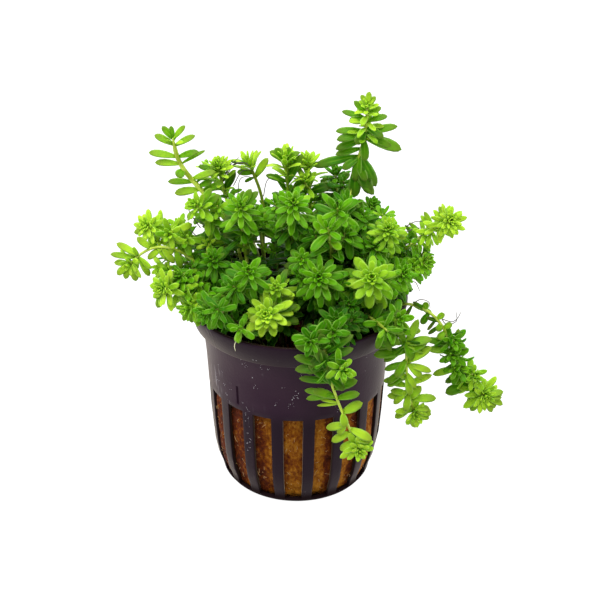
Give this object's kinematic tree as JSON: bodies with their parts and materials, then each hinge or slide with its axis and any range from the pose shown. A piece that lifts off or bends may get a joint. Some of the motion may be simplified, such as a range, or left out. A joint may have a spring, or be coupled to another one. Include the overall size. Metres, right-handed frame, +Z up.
{
  "type": "potted tissue culture nanjenshan rotala",
  "caption": "Bushy green stem plant with opposite leaves and trailing shoots, rooted in a mineral-wool plug in a dark slotted plastic pot.",
  "frame": {"origin": "centre of the flat underside of the pot's foot, on the floor", "axes": "+Z up along the pot's axis, -Y towards the front of the plant, +X to its right seen from the front"},
  "size_m": [0.0947, 0.07, 0.1021],
  "materials": {
    "pot_plastic": "satin dark aubergine moulded plastic with a soft sheen, fine scratches and pale specks",
    "mineral_wool": "damp orange-brown mineral wool, fibrous, with darker red-brown patches",
    "foliage": "thin waxy leaves and stems, from bright yellow-green at the tips to deep green inside"
  },
  "bodies": {
    "root": {"pot": "pot_plastic", "wool_plug": "mineral_wool", "shoot_01": "foliage", "shoot_02": "foliage", "shoot_03": "foliage", "shoot_04": "foliage", "shoot_05": "foliage", "shoot_06": "foliage", "shoot_07": "foliage", "shoot_08": "foliage", "shoot_09": "foliage", "shoot_10": "foliage", "shoot_11": "foliage", "shoot_12": "foliage", "shoot_13": "foliage", "shoot_14": "foliage", "shoot_15": "foliage", "shoot_16": "foliage", "shoot_17": "foliage", "shoot_18": "foliage", "shoot_19": "foliage", "shoot_20": "foliage", "shoot_21": "foliage", "shoot_22": "foliage", "shoot_23": "foliage", "shoot_24": "foliage", "shoot_25": "foliage", "shoot_26": "foliage", "shoot_27": "foliage", "shoot_28": "foliage", "shoot_29": "foliage", "shoot_30": "foliage", "shoot_31": "foliage", "shoot_32": "foliage", "shoot_33": "foliage", "shoot_34": "foliage", "shoot_35": "foliage", "shoot_36": "foliage", "shoot_37": "foliage", "shoot_38": "foliage", "shoot_39": "foliage", "shoot_40": "foliage", "shoot_41": "foliage", "shoot_42": "foliage", "shoot_43": "foliage", "shoot_44": "foliage", "shoot_45": "foliage", "shoot_46": "foliage", "shoot_47": "foliage", "shoot_48": "foliage", "shoot_49": "foliage", "shoot_50": "foliage", "shoot_51": "foliage", "shoot_52": "foliage", "shoot_53": "foliage", "shoot_54": "foliage", "trailing_shoot_1": "foliage", "trailing_shoot_2": "foliage", "trailing_shoot_3": "foliage"}
  },
  "joints": []
}
